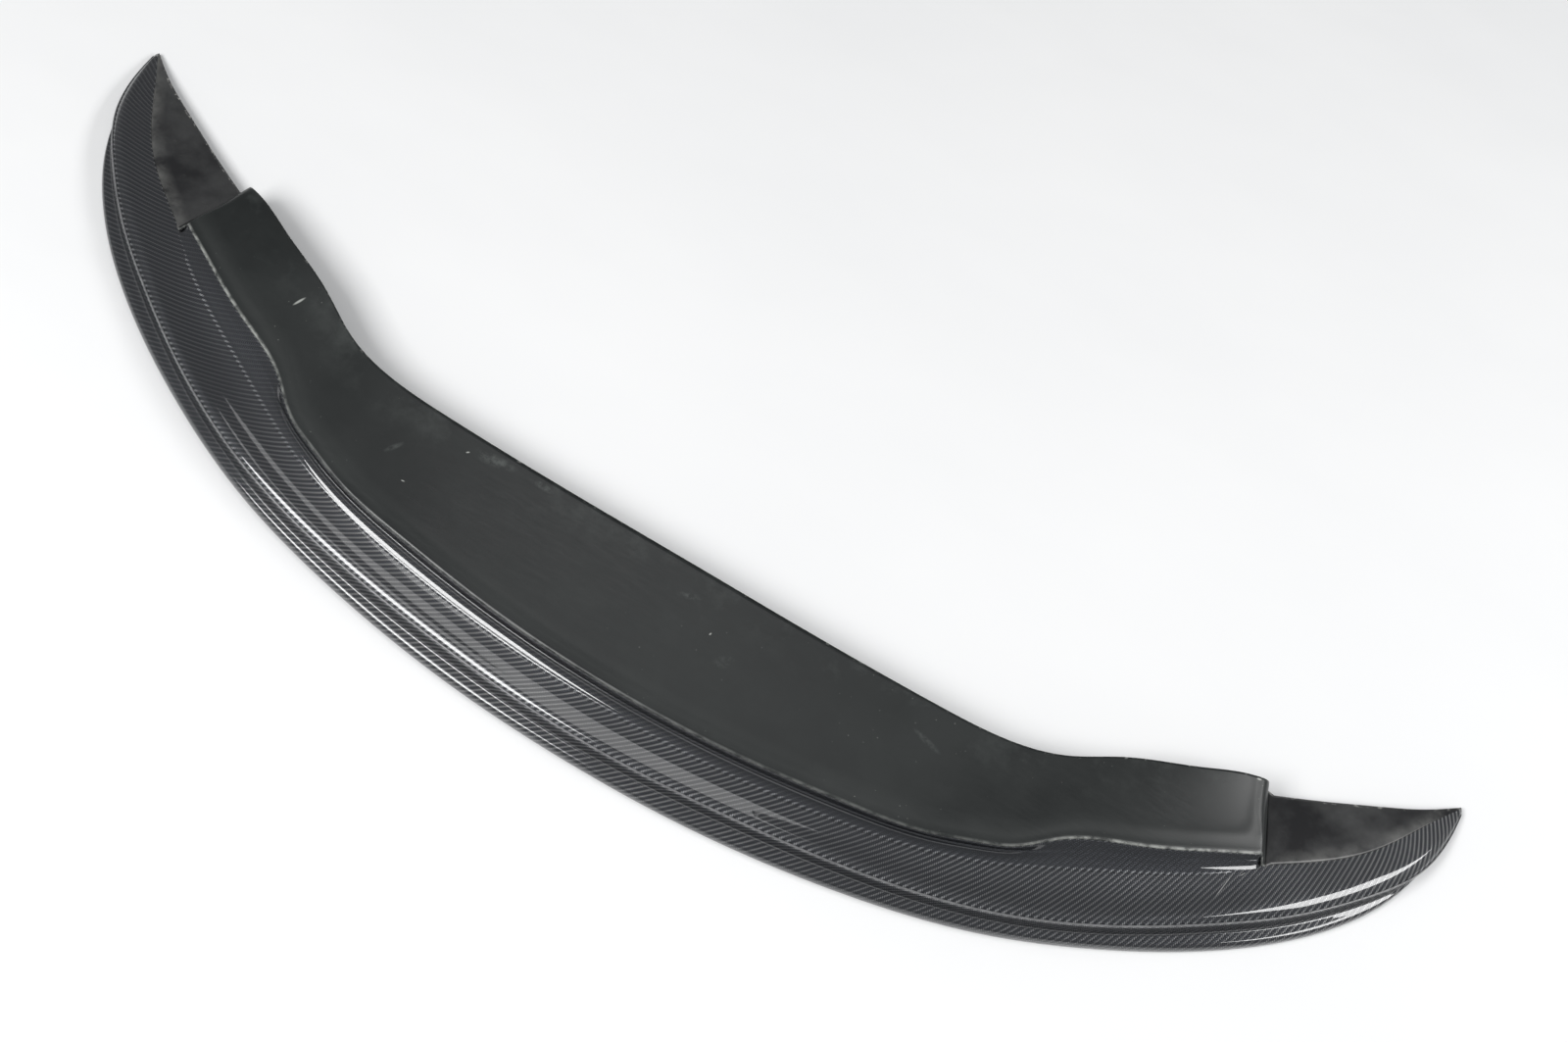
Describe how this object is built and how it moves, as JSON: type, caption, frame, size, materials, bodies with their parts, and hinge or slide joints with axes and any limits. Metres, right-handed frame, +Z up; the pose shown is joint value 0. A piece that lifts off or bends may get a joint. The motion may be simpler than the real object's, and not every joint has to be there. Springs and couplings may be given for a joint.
{
  "type": "carbon fibre front lip",
  "caption": "Crescent carbon-fibre front lip for a racing car: sharp nose, dished shelf, stepped satin mounting deck, flat tip pads and bonded threaded inserts underneath.",
  "frame": {"origin": "on the ground plane, in the middle of the lip's own box in plan", "axes": "X across the car from one tip to the other, -Y towards the nose, +Z up towards the bumper"},
  "size_m": [1.7002, 0.4784, 0.0624],
  "materials": {
    "edge_strip": "smooth clear-coated resin edge",
    "carbon": "2x2 twill carbon under gloss lacquer",
    "resin_bead": "gloss lacquered bead",
    "satin_black": "satin black with dust and scuffs",
    "matt_black": "matt black",
    "raw_laminate": "unlacquered laminate",
    "foam": "closed-cell foam",
    "block": "machined laminate block",
    "insert_steel": "turned stainless steel"
  },
  "bodies": {
    "root": {"edge_strip": "edge_strip", "nose_band": "carbon", "ridge_bead": "resin_bead", "shelf_skin": "carbon", "riser_wall": "carbon", "deck_panel": "satin_black", "end_wall_left": "satin_black", "end_wall_right": "satin_black", "tip_pad_left": "matt_black", "tip_pad_right": "matt_black", "floor_skin": "raw_laminate", "foam_core": "foam", "root_spar": "raw_laminate", "rear_bar": "raw_laminate", "deck_rib_inner_left": "raw_laminate", "deck_rib_inner_right": "raw_laminate", "deck_rib_middle_left": "raw_laminate", "deck_rib_middle_right": "raw_laminate", "deck_rib_outer_left": "raw_laminate", "deck_rib_outer_right": "raw_laminate", "centre_block_left": "block", "centre_block_right": "block", "hump_block_left": "block", "hump_block_right": "block", "tip_block_left": "block", "tip_block_right": "block", "threaded_inserts": "insert_steel"}
  },
  "joints": []
}
